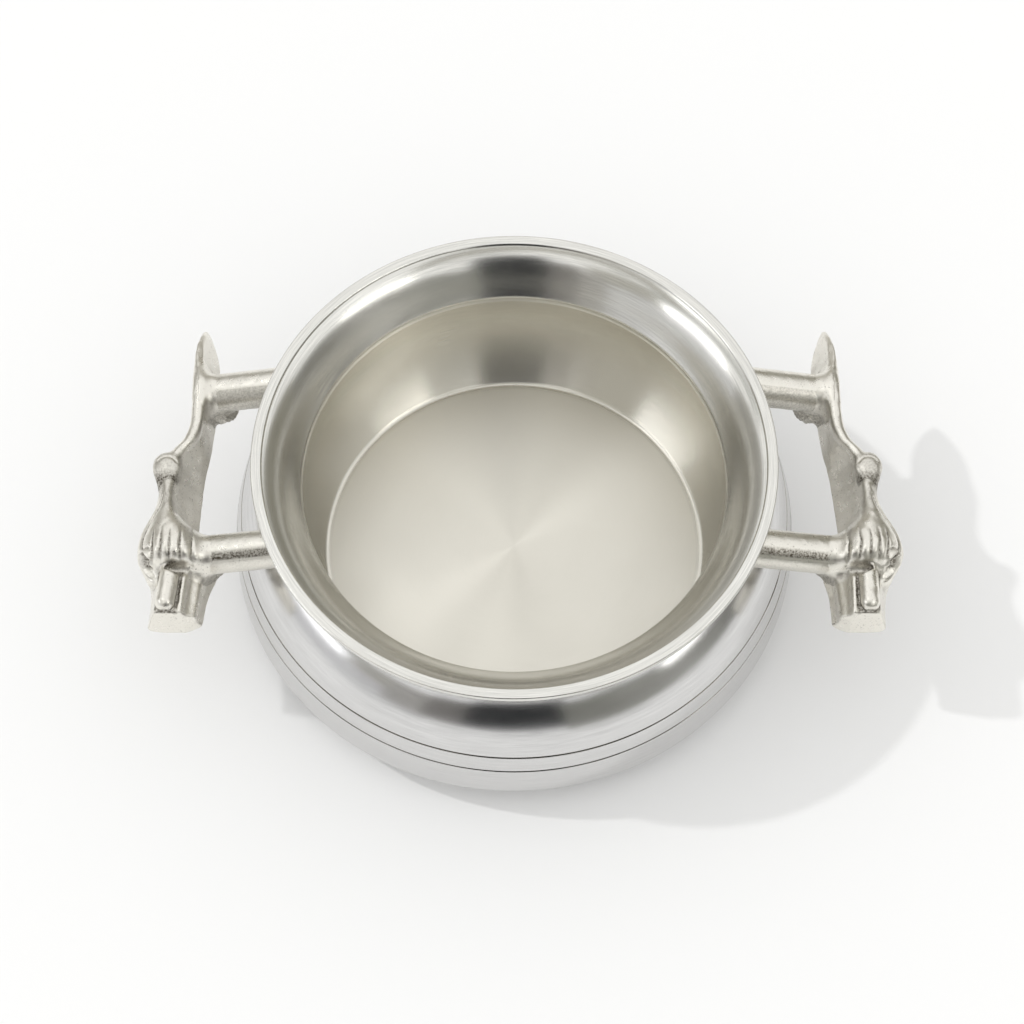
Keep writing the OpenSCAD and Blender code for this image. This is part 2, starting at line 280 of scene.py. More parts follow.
def ease(value, start, end):
    """Smooth step from 0 at start to 1 at end."""
    share = np.clip((value - start) / (end - start), 0, 1)
    return share * share * (3 - 2 * share)


def peak(distance, width):
    """Smooth hump that is 1 at no distance and fades over a width."""
    return np.exp(-(distance / width) ** 2)


def along(stations, y):
    """Smooth curves through stations sorted by falling y, as columns at each y."""
    rows = np.array(stations, float)
    dense = []
    last = len(rows) - 1
    for i in range(last):
        a, b = rows[max(i - 1, 0)], rows[i]
        c, d = rows[i + 1], rows[min(i + 2, last)]
        for t in np.linspace(0, 1, 12, endpoint=False):
            dense.append(b + (c - a) * t / 2 + (2 * a - 5 * b + 4 * c - d) * t ** 2 / 2
                         + (3 * b - a - 3 * c + d) * t ** 3 / 2)
    dense.append(rows[-1])
    dense = np.array(dense)[::-1]
    return [np.interp(y, dense[:, 0], dense[:, k]) for k in range(1, rows.shape[1])]


def capsule(p, a, b, radius):
    """Rounded bar between two points."""
    a, b = np.array(a, float), np.array(b, float)
    run = b - a
    share = sum((p[k] - a[k]) * run[k] for k in range(3)) / (run @ run)
    share = np.clip(share, 0, 1)
    return np.sqrt(sum((p[k] - a[k] - run[k] * share) ** 2 for k in range(3))) - radius


def ellipsoid(p, center, radii):
    """Ellipsoid, with its distance scaled by the smallest radius."""
    share = np.sqrt(sum(((p[k] - center[k]) / radii[k]) ** 2 for k in range(3)))
    return (share - 1) * min(radii)


def plate_x(side, y):
    """Distance of the plate's middle line from the pot's axis."""
    rear_gap, front_gap = side[1:3]
    return rim_r + rear_gap + (front_gap - rear_gap) * (rear_y - y) / post_pitch


def head_x(side, y):
    """Distance of the head's line from the pot's axis: the plate's line, turned about the front post."""
    neck_len = 20.0
    at_post, at_snout = side[3:]
    forward = np.clip((front_y - y) / muzzle_len, 0, 1)
    near = 1 - np.clip((y - front_y) / neck_len, 0, 1)
    return plate_x(side, y) + at_post * near + (at_snout - at_post) * forward


def plate_station(y, top, drop, low, tall, thick):
    """Row of the plate at a y: its top edge outwards and down, its low edge outwards, height, thickness."""
    top_out = plate_lean * top
    low_out = plate_lean * low
    return (y, top_out, plate_drop + plate_h * drop, low_out, plate_h * tall, plate_t * thick)


# Grip plate from the tip of its tail to the head, in shares of its height, lean and thickness
PLATE = [
    plate_station(tail_y, 0.12, 0.56, 0.08, 0.07, 0.35),
    plate_station(tail_y - tail_len * 0.13, 0.15, 0.33, -0.08, 0.45, 0.55),
    plate_station(tail_y - tail_len * 0.4, 0.22, 0.09, -0.29, 0.83, 0.7),
    plate_station(tail_y - tail_len * 0.72, 0.19, 0, -0.32, 0.98, 0.88),
    plate_station(rear_y, 0.15, -0.11, -0.29, 1.1, 1),
    plate_station(knob_y + bend_len * 2.2, 0.15, 0, -0.21, 1, 0.95),
    plate_station(knob_y + bend_len * 1.35, 0.33, 0, -0.15, 1, 0.95),
    plate_station(knob_y + bend_len * 0.75, 0.72, 0, -0.08, 1, 1),
    plate_station(knob_y, 0.94, 0, -0.02, 1, 1),
    plate_station(knob_y - bend_len * 1.25, 0.97, 0, 0.04, 1, 1.05),
    plate_station(front_y + 12, 0.97, 0, 0.08, 1, 1.15),
    plate_station(front_y, 0.85, 0.05, 0.1, 0.95, 1.3)]

# Crown of the head: y, inner and outer edge outside the plate, drop of its top and of its underside
CROWN = [
    (front_y + 27.0, 9.0, 12.2, 12.6, 18.0),
    (front_y + 21.0, 8.2, 13.2, 11.0, 22.0),
    (front_y + 16.0, 6.2, 15.2, 9.4, 25.0),
    (front_y + 12.0, 3.2, 17.8, 8.1, 28.0),
    (front_y + 7.5, -1.2, 20.0, 6.8, 30.0),
    (front_y + 3.0, -4.2, 21.1, 5.8, 31.0),
    (front_y - 1.0, -5.0, 21.2, 5.2, 31.5),
    (front_y - 4.2, -4.8, 20.6, 5.6, 31.0),
    (front_y - 6.6, -3.4, 19.6, 7.8, 29.5),
    (front_y - 8.8, 0.0, 18.4, 12.4, 27.0),
    (front_y - 13.5, 4.0, 16.2, 16.0, 26.0)]

# Grooves between the flutes of the crown, outside the plate
FLUTES = (-0.5, 3.8, 7.7, 11.0, 14.2)

# Muzzle: y, inner and outer edge at the bottom, inner and outer edge at the top, drop of top and bottom
MUZZLE = [
    (front_y + 1.0, -10.5, 20.0, 0.5, 14.6, 13.0, 31.0),
    (front_y - 6.0, -9.2, 18.8, 1.0, 13.4, 13.4, 31.0),
    (front_y - 13.0, -6.8, 17.0, 2.0, 12.0, 14.4, 30.4),
    (front_y - 20.0, -5.6, 16.7, 2.6, 12.2, 14.6, 29.8),
    (snout_y, -4.8, 17.2, 3.0, 12.8, 14.4, 29.0)]

# Long strands on the outer side of the crown: y and place round its section in degrees above level
MANE = [
    [(front_y + 24.0, 66), (front_y + 16.0, 60), (front_y + 9.0, 46),
     (front_y + 3.0, 33), (front_y - 2.0, 31), (front_y - 8.5, 46)],
    [(front_y + 18.0, 40), (front_y + 11.0, 30), (front_y + 4.0, 14), (front_y - 2.0, 9)]]

# Filler metal at a front and a rear post: its blend, and the place from the post's outer end and the
# radii of the lump that hangs below
BRAZE = {
    "front": (5.5, (-4.0, 0.5, -8.0), (4.0, 4.0, 3.5)),
    "rear": (6.0, (-4.5, -1.0, -7.0), (6.5, 7.5, 5.5))}


def plate_section(p, side):
    """Places up and outwards from the middle of the plate's section, with its length and thickness."""
    x, y, z = p
    top, drop, low, tall, thick = along(PLATE, y)
    center_x = plate_x(side, y)
    top_x, top_z = center_x + top, pot_h - drop
    low_x, low_z = center_x + low, pot_h - drop - tall
    length = np.hypot(top_x - low_x, top_z - low_z)
    run_x, run_z = (top_x - low_x) / length, (top_z - low_z) / length
    off_x, off_z = x - (top_x + low_x) / 2, z - (top_z + low_z) / 2
    return off_x * run_x + off_z * run_z, off_x * run_z - off_z * run_x, length, thick


def plate_field(p, side):
    """Grip plate with a beaded top edge, and the tail leaf, which is bevelled along its inner top edge."""
    edge_r = 1.3
    bead_blend = 1.6
    bevel_blend = 0.8
    y = p[1]
    up, out, length, thick = plate_section(p, side)
    edge = np.minimum(edge_r, thick * 0.45)
    over_up = np.abs(up) - (length / 2 - edge)
    over_out = np.abs(out - thick * 0.08) - (thick * 0.4 - edge)
    slab = np.hypot(np.maximum(over_up, 0), np.maximum(over_out, 0)) - edge
    slab = slab + np.minimum(np.maximum(over_up, over_out), 0)
    narrow = ease(y, front_y + 10, front_y + 16) * (1 - ease(y, knob_y - 4, knob_y + 6))
    bead_r = thick * (0.5 - 0.2 * narrow) * ease(y, tail_y + 2, rear_y)
    bead_r = np.minimum(bead_r, length * 0.4) + 0.05
    bead = np.hypot(up - (length / 2 - bead_r), out) - bead_r
    whole = smooth_min(slab, bead, bead_blend)
    left_on = 0.6 + 5 * (1 - ease(y, rear_y - 2, rear_y + 18))
    bevel = (up - length / 2 - out + thick * 0.45 - left_on) / math.sqrt(2)
    whole = smooth_max(whole, bevel, bevel_blend)
    return np.maximum(whole, np.maximum(y - tail_y, front_y - 4 - y))


def knob_field(p, side):
    """Hood that swells out of the top edge, tapers towards the head and has a groove near its rear."""
    groove_depth = 0.5
    groove_width = 0.5
    middle = (plate_x(side, knob_y) + plate_lean * 0.97, knob_y + 1.0, pot_h - plate_drop - 1.2)
    radius = knob_d / 2
    hood = ellipsoid(p, middle, (radius * 1.05, radius * 1.08, radius * 0.66))
    taper = ellipsoid(p, (middle[0] + 0.2, middle[1] - 5.5, middle[2] - 0.8), (3.3, 7.0, 2.8))
    hood = smooth_min(hood, taper, 3.0)
    from_groove = np.hypot(p[0] - middle[0], p[1] - middle[1] + 1.2) - radius * 0.75
    behind = ease(p[1], middle[1] - 0.5, middle[1] + 1.5)
    return hood + groove_depth * peak(from_groove, groove_width) * behind


def crown_section(p, side):
    """Rounded crown without its flutes, with places across and up its section."""
    power = 1.9
    end_blend = 2.0
    x, y, z = p
    inner, outer, top, bottom = along(CROWN, y)
    out = x - head_x(side, y)
    across = (out - (inner + outer) / 2) / ((outer - inner) / 2)
    rise = (pot_h - z - (top + bottom) / 2) / ((top - bottom) / 2)
    size = (np.abs(across) ** power + np.abs(rise) ** power) ** (1 / power)
    dome = (size - 1) * np.minimum(outer - inner, bottom - top) / 2
    ends = np.maximum(y - CROWN[0][0], CROWN[-1][0] - y)
    return smooth_max(dome, ends, end_blend), out, across, rise


def flute_marks(y, out):
    """Share of the flutes' grooves, which widen from thin lines to a scalloped brow, and their growth."""
    line = ease(y, front_y + 7.5, front_y + 2.0)
    brow = ease(y, front_y + 3.0, front_y - 5.5)
    width = 0.45 + 0.35 * brow
    end = 1 - ease(y, front_y - 5.5, front_y - 8.5)
    return sum(peak(out - place, width) for place in FLUTES) * end, line, brow


def mane_marks(y, across, rise):
    """Share of the long grooves that part the strands on the crown's outer side."""
    width = 4.6
    turn = np.degrees(np.arctan2(rise, across))
    marks = 0
    for strand in MANE:
        places = np.array(strand)[::-1]
        front_end = places[0, 0]
        rear_end = places[-1, 0]
        middle = np.interp(y, places[:, 0], places[:, 1])
        ends = ease(y, front_end - 1.5, front_end + 1.5) * (1 - ease(y, rear_end - 4, rear_end))
        marks = marks + peak(turn - middle, width) * ends
    return marks


def crown_field(p, side):
    """Domed crown with flutes over the brow and strands down its outer side."""
    line_depth = 0.26
    brow_depth = 0.44
    dome, out, across, rise = crown_section(p, side)
    flutes, line, brow = flute_marks(p[1], out)
    depth = flutes * (line_depth * line + brow_depth * brow) * ease(rise, 0.0, 0.3)
    return dome + depth + mane_marks(p[1], across, rise)


def on_head(side, out, forward, drop):
    """A point of the head, by its place outside the plate, ahead of the front post and below the lip."""
    y = front_y - forward
    return (head_x(side, y) + out, y, pot_h - drop)


def muzzle_block(p, side):
    """Blunt muzzle that flares to the post and ends in a flat, leaning snout."""
    corner_blend = 1.2
    flank_blend = 5.0
    x, y, z = p
    low_in, low_out, top_in, top_out, top, bottom = along(MUZZLE, y)
    out = x - head_x(side, y)
    drop = pot_h - z
    fall = np.clip((drop - top) / (bottom - top), 0, 1.2)
    inner = top_in + (low_in - top_in) * fall ** 1.25
    outer = top_out + (low_out - top_out) * fall ** 0.8
    block = smooth_max(inner - out, out - outer, 1.0) * 0.85
    block = smooth_max(block, top - drop, corner_blend)
    aside = (out - (low_in + low_out) / 2) / ((low_out - low_in) / 2)
    block = smooth_max(block, drop - bottom - 0.9 + 2.6 * np.abs(aside) ** 4, 1.5)
    flank = capsule(p, on_head(side, -2.2, 8.0, 22.5), on_head(side, 0.4, 34.0, 21.0), 1.0)
    block = smooth_min(block, flank, flank_blend)
    lean = 1.4 * (1 - fall) + 0.3 * np.maximum(2.5 - out, 0)
    block = smooth_max(block, snout_y + lean - y, corner_blend)
    return smooth_max(block, y - MUZZLE[0][0], 1.0)


def muzzle_field(p, side):
    """Muzzle with a round nose, a notch across the nose's tip and a thin inner ridge."""
    nose_blend = 0.3
    ridge_blend = 0.5
    nose = capsule(p, on_head(side, 7.6, 9.5, 13.6), on_head(side, 8.9, 22.8, 13.4), 3.7)
    ridge = capsule(p, on_head(side, 2.6, 11.5, 14.9), on_head(side, 3.6, 25.8, 15.2), 1.0)
    notch = capsule(p, on_head(side, 5.4, 26.9, 12.4), on_head(side, 12.4, 26.9, 12.4), 1.1)
    face = smooth_min(muzzle_block(p, side), ridge, ridge_blend)
    face = smooth_min(face, nose, nose_blend)
    return smooth_max(face, -notch, ridge_blend)


def stop_field(p, side):
    """Hollow under the brow, between the crown and the nose."""
    return ellipsoid(p, on_head(side, 2.8, 9.6, 11.6), (6.6, 2.4, 3.4))


def eye_place(p, side):
    """Places along and across the eye from its middle on the outer temple, and shares of its outline."""
    slant = 0.7
    stretch = 1.22
    half_length = 5.0
    half_height = 2.7
    behind = p[1] - (front_y - 7.6)
    down = pot_h - 12.6 - p[2]
    length = (behind - slant * down) / stretch
    height = (down + slant * behind) / stretch
    ring = (length / half_length) ** 2 + np.abs(height) / half_height
    outside = ease(p[0] - head_x(side, p[1]), head_out + 4.5, head_out + 7.0)
    return length, height, ring, outside


def eye_relief(p, side):
    """Almond eye with a raised rim and pupil at the outer temple, as a height over the surface."""
    width = 0.3
    length, height, ring, outside = eye_place(p, side)
    rim = 0.95 * peak(ring - 1, width) - 0.8 * peak(ring - 0.35, width)
    rim = rim - 0.5 * peak(ring - 1.75, width)
    pupil = 0.8 * peak(np.hypot(length, height), 1.1)
    return (rim + pupil) * outside


def cast_ripple(p):
    """Slow unevenness of a sand casting, the same on every run."""
    x, y, z = p
    ripple = np.sin(0.9 * x + 0.37 * y) * np.sin(0.55 * y - 0.8 * z + 1.3)
    return ripple + 0.6 * np.sin(1.7 * x - 1.1 * z + 0.4) * np.sin(1.3 * y + 2.1)


def is_rear(y):
    """Whether a post at this y is the rear one of its handle."""
    return y > handle_shift


def post_start(side, y):
    """Outer end of a post, from where it runs along POST_RUN towards the pot."""
    inset = -plate_t / 2 if is_rear(y) else head_in
    return (plate_x(side, y) + inset, y, pot_h - post_drop)


def post_field(p, side, y):
    """Round bar from a flat end at the casting towards the pot."""
    start = post_start(side, y)
    from_start = [p[k] - start[k] for k in range(3)]
    length = sum(from_start[k] * POST_RUN[k] for k in range(3))
    radial = np.sqrt(sum((from_start[k] - length * POST_RUN[k]) ** 2 for k in range(3)))
    return smooth_max(radial - post_r, -length - 1.0, 1.5)


def casting_field(p, side):
    """Plate, knob and head of one handle as a single casting."""
    crease = 0.8
    neck_blend = 4.5
    knob_blend = 1.4
    unevenness = 0.05
    head = smooth_min(crown_field(p, side), muzzle_field(p, side), crease)
    head = smooth_max(head, -stop_field(p, side), crease)
    head = head - eye_relief(p, side)
    body = smooth_min(plate_field(p, side), head, neck_blend)
    body = smooth_min(body, knob_field(p, side), knob_blend)
    return body + unevenness * cast_ripple(p)


def nose_shade(p, side):
    """Painted shade along both sides of the nose and at its overhanging tip."""
    outer_side = capsule(p, on_head(side, 11.4, 10.0, 14.4), on_head(side, 12.7, 24.5, 14.4), 0.0)
    inner_side = capsule(p, on_head(side, 3.6, 10.0, 14.6), on_head(side, 5.0, 26.0, 15.0), 0.0)
    tip = capsule(p, on_head(side, 5.8, 26.6, 14.0), on_head(side, 12.0, 26.4, 14.0), 0.0)
    sides = np.maximum(0.75 * peak(outer_side, 1.5), 0.7 * peak(inner_side, 1.3))
    return np.maximum(sides, 0.9 * peak(tip, 1.2))


def casting_dirt_and_shade(p, side):
    """Grime with painted shade in the flutes, strands, stop and eye, speckled grime on the knob, painted
    shade by the nose and along the plate's outer edge, and a darker patch behind the crown's outer side.
    """
    y = p[1]
    dome, out, across, rise = crown_section(p, side)
    on_crown = 1 - ease(dome, 2.0, 3.0)
    upper = ease(rise, 0.0, 0.3) * on_crown
    # Flutes, strands, stop and eye: grime mixed with painted shade
    flutes, line = flute_marks(y, out)[:2]
    fluted = 0.64 * flutes * line * upper
    mane = 0.7 * mane_marks(y, across, rise) * on_crown
    stop = 0.7 * np.exp(-np.maximum(stop_field(p, side) + 1.0, 0) / 1.6)
    # A darker patch on the outer side behind the crown
    behind = 0.4 * peak(y - (front_y + 24), 7) * ease(out, 10.0, 12.5)
    on_knob = 1 - ease(knob_field(p, side), 0.3, 1.2)
    knob = on_knob * (0.33 + 0.3 * (1 - ease(y, knob_y - 6, knob_y - 1)))
    ring, outside = eye_place(p, side)[2:]
    eye = 0.62 * peak(ring - 0.4, 0.3) + 0.5 * peak(ring - 1.75, 0.35)
    # Painted shade on the plate's outer side, from behind the knob to the tail
    beyond = p[0] - plate_x(side, y) - along(PLATE, y)[0]
    edge = 0.5 * ease(beyond, 1.7, 2.3) * ease(y, knob_y + 6, knob_y + 12)
    # Painted shade by the nose
    nose = nose_shade(p, side)
    return np.maximum.reduce([fluted, mane, stop, behind, knob, eye * outside, nose, edge])


def pot_field(p):
    """Distance outside the bowl's shoulder and the collar, for the ends of the posts."""
    x, y, z = p
    radius = np.hypot(x, y)
    share = np.clip((z - belly_h) / (shoulder_h - belly_h), 0, 1)
    shoulder = mouth_out_r + (belly_r - mouth_out_r) * np.sqrt(1 - share * share)
    flare = (rim_r - lip_w - neck_r) / collar_drop
    collar = skirt_r + np.maximum(z - mouth_h, 0) * flare
    return radius - np.maximum(shoulder, collar)


def bar_field(p, side, y):
    """A slightly uneven cast bar between the bowl and the casting."""
    unevenness = 0.03
    bar = post_field(p, side, y) + unevenness * cast_ripple(p)
    return np.maximum(bar, -pot_field(p) - overlap)


def bar_dirt_and_shade(p, side, y):
    """Painted shade in a band on a front post's upper front, and a darker lower front on every post, which
    stands for both shade and rough unpolished metal.
    """
    start = post_start(side, y)
    rise = (start[0] - p[0]) * math.tan(post_slope)
    turn = np.degrees(np.arctan2(p[2] - start[2] - rise, y - p[1]))
    # Rear post: darker lower front, as painted shade and unpolished metal
    if is_rear(y):
        return 0.37 * (1 - ease(turn, 66, 72)) * ease(turn, -100, -60)
    # Front post: band of painted shade on the upper front, and a darker lower front
    band = 0.8 * ease(turn, 38, 50) * (1 - ease(turn, 52, 84))
    return np.maximum(band, 0.27 * (1 - ease(turn, 36, 46)))


def braze_field(p, side, y):
    """Fillet of filler metal in the corner between a post and the casting, with a lump below."""
    lump_blend = 3.0
    unevenness = 0.3
    post = post_field(p, side, y)
    cast = casting_field(p, side)
    start = post_start(side, y)
    blend, offset, radii = BRAZE["rear" if is_rear(y) else "front"]
    both = smooth_min(post, cast, blend)
    middle = [start[k] + offset[k] for k in range(3)]
    lump = ellipsoid(p, middle, radii) + unevenness * cast_ripple(tuple(1.6 * a for a in p))
    both = smooth_min(both, lump, lump_blend) + 0.1
    if is_rear(y):
        # Rear filler ends inside the plate, so that the plate's outer face stays clean
        both = np.maximum(both, plate_section(p, side)[1] + 0.3)
    return np.maximum(both, np.maximum(-post - overlap, -cast - overlap))


def braze_underside_shade(p, side, y):
    """Filler below a post's middle is painted darker than above it: painted shade on its underside."""
    fade = 4
    middle = post_start(side, y)[2]
    # Painted shade: darker below the post's middle
    return 0.45 * (1 - ease(p[2], middle - fade, middle + fade))


def net_cells(field):
    """Cells of a grid that a field's zero surface crosses, and the mean place of its crossings in each."""
    cells = tuple(n - 1 for n in field.shape)
    total = np.zeros(cells + (3,))
    count = np.zeros(cells)
    for axis in range(3):
        others = [k for k in range(3) if k != axis]
        for i in (0, 1):
            for j in (0, 1):
                pick = [None, None, None]
                pick[others[0]] = slice(i, i + cells[others[0]])
                pick[others[1]] = slice(j, j + cells[others[1]])
                pick[axis] = slice(0, cells[axis])
                near = field[tuple(pick)]
                pick[axis] = slice(1, cells[axis] + 1)
                far = field[tuple(pick)]
                crossed = (near < 0) != (far < 0)
                share = np.where(crossed, near / np.where(crossed, near - far, 1), 0)
                count += crossed
                total[..., axis] += share
                total[..., others[0]] += crossed * i
                total[..., others[1]] += crossed * j
    active = count > 0
    return active, total[active] / count[active][:, None]


def net_quads(field, index):
    """Quads that join the vertices of the four cells round each crossed edge of the grid."""
    inside = field < 0
    cells = index.shape
    faces = []
    for axis in range(3):
        one, two = [(1, 2), (2, 0), (0, 1)][axis]
        pick = [slice(None)] * 3
        pick[axis] = slice(0, cells[axis])
        near = inside[tuple(pick)]
        pick[axis] = slice(1, cells[axis] + 1)
        far = inside[tuple(pick)]
        for flipped, crossing in ((False, near & ~far), (True, ~near & far)):
            at = np.argwhere(crossing)
            at = at[(at[:, one] > 0) & (at[:, two] > 0)]
            at = at[(at[:, one] < cells[one]) & (at[:, two] < cells[two])]
            quad = []
            for a, b in ((1, 1), (0, 1), (0, 0), (1, 0)):
                cell = at.copy()
                cell[:, one] -= a
                cell[:, two] -= b
                quad.append(index[cell[:, 0], cell[:, 1], cell[:, 2]])
            quad = np.stack(quad, 1)
            faces.append(quad[:, ::-1] if flipped else quad)
    return np.concatenate(faces)


def surface_net(field, low, step):
    """Vertices and quads of a sampled field's zero surface, with one vertex to each crossed cell."""
    active, place = net_cells(field)
    index = np.full(active.shape, -1)
    index[active] = np.arange(active.sum())
    vertices = low + step * (np.argwhere(active) + place)
    return vertices, net_quads(field, index)


def grid(low, high, step):
    """Sample points of a box, as three arrays that broadcast."""
    axes = [np.arange(low[k], high[k] + step, step) for k in range(3)]
    return (axes[0][:, None, None], axes[1][None, :, None], axes[2][None, None, :])


def sample(field, low, step, points):
    """Value of a gridded field at points, by linear interpolation."""
    place = (points - low) / step
    place = np.clip(place, 0, np.array(field.shape) - 1.001)
    base = place.astype(int)
    part = place - base
    value = 0
    for i in (0, 1):
        for j in (0, 1):
            for k in (0, 1):
                weight = abs(1 - i - part[:, 0]) * abs(1 - j - part[:, 1]) * abs(1 - k - part[:, 2])
                value = value + weight * field[base[:, 0] + i, base[:, 1] + j, base[:, 2] + k]
    return value


def hollowness(field, low, step, points):
    """How far each surface point lies in a recess, from 0 on open ground to 1 in a deep one."""
    reach = 1.6
    aside = reach * 0.3
    slope = np.stack([sample(field, low, step, points + aside * axis)
                      - sample(field, low, step, points - aside * axis) for axis in np.eye(3)], 1)
    normal = slope / np.maximum(np.linalg.norm(slope, axis=1), 1e-9)[:, None]
    near = sample(field, low, step, points + normal * reach) / reach
    far = sample(field, low, step, points + normal * reach * 2) / (reach * 2)
    return np.clip(1.05 - 0.6 * near - 0.5 * far, 0, 1)


def sculpt(name, field, dirt_and_shade, where, box, step, material):
    """Mesh of a field in a box, with a point attribute that paints its hollows dark as shade and grime,
    together with its other marks of grime and painted shade.

    Where holds the handle's side, and for a post or fillet the post's y too.
    """
    low, high = np.array(box, float)
    p = grid(low, high, step)
    values = field(p, *where) + np.zeros(np.broadcast_shapes(*(a.shape for a in p)))
    vertices, faces = surface_net(values, low, step)
    # Hollows and corners between parts are painted dark as the shade that falls there, with grime
    recess = np.maximum(hollowness(values, low, step, vertices), dirt_and_shade(vertices.T, *where))
    sign = where[0][0]
    if sign < 0:
        vertices = vertices * (-1, 1, 1)
        faces = faces[:, ::-1]
    piece = new_object(name, vertices, faces.tolist(), material)
    piece.data.shade_smooth()
    set_recess(piece, recess)
    return piece


# Materials

class Nodes:
    """A material and short ways to build its node tree."""

    def __init__(self, name):
        self.material = bpy.data.materials.new(name)
        self.material.use_nodes = True
        self.tree = self.material.node_tree
        self.shader = self.tree.nodes["Principled BSDF"]

    def add(self, kind, links=None, **settings):
        """A node with its settings, each input linked to a socket or set to a value."""
        node = self.tree.nodes.new(kind)
        for key, value in settings.items():
            setattr(node, key, value)
        for socket, source in (links or {}).items():
            if hasattr(source, "is_output"):
                self.tree.links.new(source, node.inputs[socket])
            else:
                node.inputs[socket].default_value = source
        return node

    def math(self, operation, a, b=0.0):
        """Result of an operation on two numbers or sockets."""
        return self.add("ShaderNodeMath", {0: a, 1: b}, operation=operation).outputs[0]

    def noise(self, vector, scale, detail=2.0, rough=0.5):
        """Noise at a place, between 0 and 1."""
        return self.add("ShaderNodeTexNoise", {"Vector": vector, "Scale": scale, "Detail": detail,
                                               "Roughness": rough}).outputs["Fac"]

    def ramp(self, value, low, high, dark=0.0, light=1.0):
        """A number spread from one range to another."""
        node = self.add("ShaderNodeMapRange", {"Value": value, "From Min": low, "From Max": high,
                                               "To Min": dark, "To Max": light})
        return node.outputs["Result"]

    def mix(self, share, a, b):
        """Colour between two colours or sockets."""
        a, b = [color if hasattr(color, "is_output") else (*color, 1) for color in (a, b)]
        node = self.add("ShaderNodeMix", {"Factor": share, 6: a, 7: b}, data_type="RGBA")
        return node.outputs[2]

    def link(self, socket, source):
        """Links a socket to an input of the surface."""
        self.tree.links.new(source, self.shader.inputs[socket])

    def set(self, **values):
        """Sets inputs of the surface, named with underscores for spaces."""
        for socket, value in values.items():
            self.shader.inputs[socket.replace("_", " ")].default_value = value

    def bump(self, height, strength, distance):
        """Lets a height, as a share of a distance, tilt the surface."""
        node = self.add("ShaderNodeBump", {"Height": height, "Strength": strength,
                                           "Distance": distance})
        self.link("Normal", node.outputs["Normal"])


def ring_noise(nodes, place, line_scale):
    """Distance from the pot's axis, and noise drawn out into fine rings round that axis."""
    swing_scale = 5.0
    split = nodes.add("ShaderNodeSeparateXYZ", {0: place})
    flat = nodes.add("ShaderNodeCombineXYZ", {0: split.outputs[0], 1: split.outputs[1]}).outputs[0]
    radius = nodes.add("ShaderNodeVectorMath", {0: flat}, operation="LENGTH").outputs["Value"]
    turn = nodes.add("ShaderNodeVectorMath", {0: flat}, operation="NORMALIZE").outputs[0]
    swing = nodes.add("ShaderNodeSeparateXYZ", {0: turn})
    rise = nodes.math("MULTIPLY", split.outputs[2], line_scale)
    rings = nodes.add("ShaderNodeCombineXYZ", {
        0: nodes.math("ADD", nodes.math("MULTIPLY", radius, line_scale), rise),
        1: nodes.math("MULTIPLY", swing.outputs[0], swing_scale),
        2: nodes.math("MULTIPLY", swing.outputs[1], swing_scale)}).outputs[0]
    return radius, nodes.noise(rings, 1.0, 4.0, 0.65)


def turned_metal(name, tone, roughness, anisotropy, line_scale, contrast, dull_floor=0.0):
    """Metal brushed round the pot's axis: fine rings in its tone, gloss and height, and grooves painted
    dark as their shade.

    The dull floor is the roughness added inside the base's radius, where the metal is also paler.
    """
    groove_shade = (0.10, 0.085, 0.06)
    floor_fade = 2
    ring_gloss = 0.07 * contrast
    cloud_gloss = 0.02
    ring_height = 0.00004
    dark = tuple(c * 0.72 for c in tone)
    pale = tuple(min(1.0, c * 1.07 + 0.01) for c in tone)
    nodes = Nodes(name)
    place = nodes.add("ShaderNodeTexCoord").outputs["Object"]
    radius, fine = ring_noise(nodes, place, line_scale)
    cloud = nodes.noise(place, 28.0, 3.0)
    groove = nodes.add("ShaderNodeAttribute", attribute_name="recess").outputs["Fac"]
    on_floor = nodes.ramp(radius, (base_r - floor_fade) * MM, base_r * MM, 1.0, 0.0)
    lines = nodes.ramp(fine, 0.3, 0.7)
    brushed = nodes.mix(nodes.math("MULTIPLY", lines, contrast), tone, dark)
    if dull_floor:
        brushed = nodes.mix(nodes.math("MULTIPLY", on_floor, 0.9), brushed, pale)
    # The grooves are painted near-black brown as their shade
    nodes.link("Base Color", nodes.mix(groove, brushed, groove_shade))
    gloss = nodes.math("ADD", nodes.ramp(fine, 0.25, 0.75, -ring_gloss, ring_gloss),
                       nodes.ramp(cloud, 0.3, 0.7, -cloud_gloss, cloud_gloss))
    duller = nodes.math("MULTIPLY", on_floor, dull_floor)
    nodes.link("Roughness", nodes.math("ADD", gloss, nodes.math("ADD", duller, roughness)))
    nodes.bump(fine, 0.2 * contrast, ring_height)
    tangent = nodes.add("ShaderNodeTangent", direction_type="RADIAL", axis="Z")
    nodes.link("Tangent", tangent.outputs[0])
    nodes.set(Metallic=1.0, Anisotropic=anisotropy, Anisotropic_Rotation=0.25)
    return nodes.material


